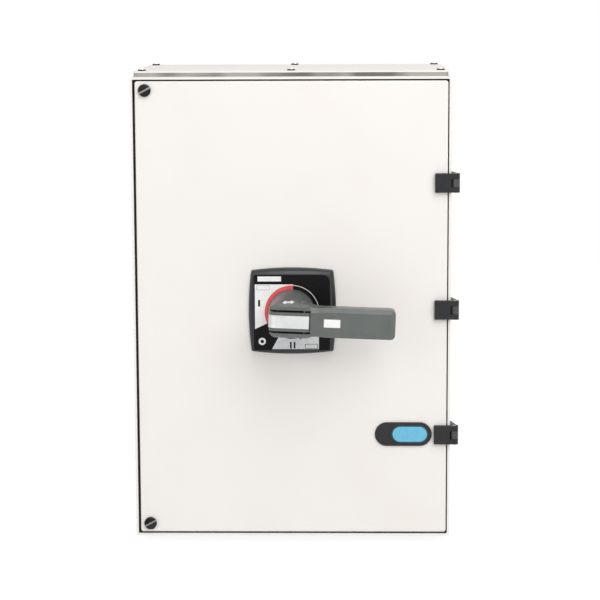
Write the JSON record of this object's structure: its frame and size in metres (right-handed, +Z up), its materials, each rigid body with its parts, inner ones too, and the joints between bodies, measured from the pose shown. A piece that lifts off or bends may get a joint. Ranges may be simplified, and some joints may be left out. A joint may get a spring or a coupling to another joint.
{
  "type": "manual changeover switch",
  "caption": "Enclosed manual changeover switch: sheet-steel box with hinged door, rotary handle with padlock lever, and stacked rotary pole decks inside.",
  "frame": {"origin": "centre of the four wall-fixing holes, on the outer face of the back wall", "axes": "+X towards the hinge side, +Y out of the back wall towards the wall it is fixed to, so the door faces -Y, +Z up"},
  "size_m": [0.4105, 0.3353, 0.604],
  "materials": {
    "shell_paint": "powder coat, fine texture, semi-gloss",
    "door_paint": "powder coat, fine texture, semi-gloss",
    "grey_foam": "matt foam rubber",
    "door_seal": "matt foam rubber",
    "dark_screw": "blackened steel, satin",
    "zinc_steel": "zinc plated, satin",
    "brass": "turned, satin",
    "hinge_black": "moulded nylon, fine grain",
    "white_nylon": "moulded nylon",
    "badge_black": "moulded, semi-gloss",
    "badge_blue": "printed film, gloss",
    "escutcheon_grey": "moulded, fine grain",
    "dial_print": "printed film, fields of white, black, red and speckled grey",
    "handle_grey": "moulded, fine grain",
    "lever_silver": "satin film",
    "tag_white": "blank film",
    "switch_moulding": "moulded thermoset, satin",
    "rotor_black": "moulded thermoset, satin",
    "copper": "tinned copper bar, satin"
  },
  "bodies": {
    "enclosure": {"base_plate": "zinc_steel", "base_screws": "zinc_steel", "body_leaf_screws": "zinc_steel", "bottom_gland_gasket": "grey_foam", "bottom_gland_plate": "shell_paint", "bottom_hinge_body_leaf": "hinge_black", "drive_cover": "rotor_black", "drive_housing": "rotor_black", "earth_nuts": "brass", "earth_stud": "brass", "enclosure_shell": "shell_paint", "gland_rivet_nuts": "zinc_steel", "gland_screws": "dark_screw", "hinge_pins": "zinc_steel", "load_bars": "copper", "middle_hinge_body_leaf": "hinge_black", "mounting_plate": "zinc_steel", "pole_deck_1": "switch_moulding", "pole_deck_2": "switch_moulding", "pole_deck_3": "switch_moulding", "pole_deck_4": "switch_moulding", "source_one_bars": "copper", "source_two_bars": "copper", "stud_nuts": "zinc_steel", "terminal_bolts": "zinc_steel", "terminal_nuts": "zinc_steel", "tie_bolts": "zinc_steel", "top_gland_gasket": "grey_foam", "top_gland_plate": "shell_paint", "top_hinge_body_leaf": "hinge_black"},
    "door": {"door": "door_paint", "door_gasket": "door_seal", "lock_bushes": "white_nylon", "badge": "badge_black", "badge_panel": "badge_blue", "escutcheon": "escutcheon_grey", "escutcheon_screws": "zinc_steel", "dial_plate": "dial_print", "hub_washer": "zinc_steel", "top_hinge_door_leaf": "hinge_black", "middle_hinge_door_leaf": "hinge_black", "bottom_hinge_door_leaf": "hinge_black", "door_leaf_screws": "zinc_steel"},
    "handle": {"handle": "handle_grey", "lever_pin": "dark_screw", "grip_tag": "tag_white", "handle_coupling": "zinc_steel", "retaining_ring": "zinc_steel", "handle_screw": "zinc_steel"},
    "padlock_lever": {"padlock_lever": "handle_grey", "lever_face": "lever_silver"},
    "switch_shaft": {"switch_shaft": "zinc_steel", "rotor_1": "rotor_black", "rotor_2": "rotor_black", "rotor_3": "rotor_black", "rotor_4": "rotor_black", "moving_blades": "copper"},
    "top_lock": {"top_lock_screw": "dark_screw"},
    "bottom_lock": {"bottom_lock_screw": "dark_screw"}
  },
  "joints": [
    {"name": "door_hinge", "type": "hinge", "parent": "enclosure", "child": "door", "pos_m": [0.2055, -0.251, 0], "axis": [0, 0, 1], "range_deg": [0, 120]},
    {"name": "handle_turn", "type": "hinge", "parent": "door", "child": "handle", "pos_m": [0, -0.2505, -0.0025], "axis": [0, -1, 0], "range_deg": [0, 90]},
    {"name": "lever_lift", "type": "hinge", "parent": "handle", "child": "padlock_lever", "pos_m": [0.01759, -0.3299, -0.00318], "axis": [0.0384, 0, 0.9993], "range_deg": [0, 35]},
    {"name": "shaft_turn", "type": "hinge", "parent": "enclosure", "child": "switch_shaft", "pos_m": [0, -0.11, -0.0025], "axis": [0, -1, 0], "range_deg": [0, 90]},
    {"name": "top_lock_turn", "type": "hinge", "parent": "door", "child": "top_lock", "pos_m": [-0.1816, -0.2505, 0.2757], "axis": [0, -1, 0], "range_deg": [0, 90]},
    {"name": "bottom_lock_turn", "type": "hinge", "parent": "door", "child": "bottom_lock", "pos_m": [-0.1816, -0.2505, -0.2757], "axis": [0, -1, 0], "range_deg": [0, 90]}
  ],
  "couplings": [
    {"joint": "shaft_turn", "follows": "handle_turn", "ratio": 1}
  ]
}
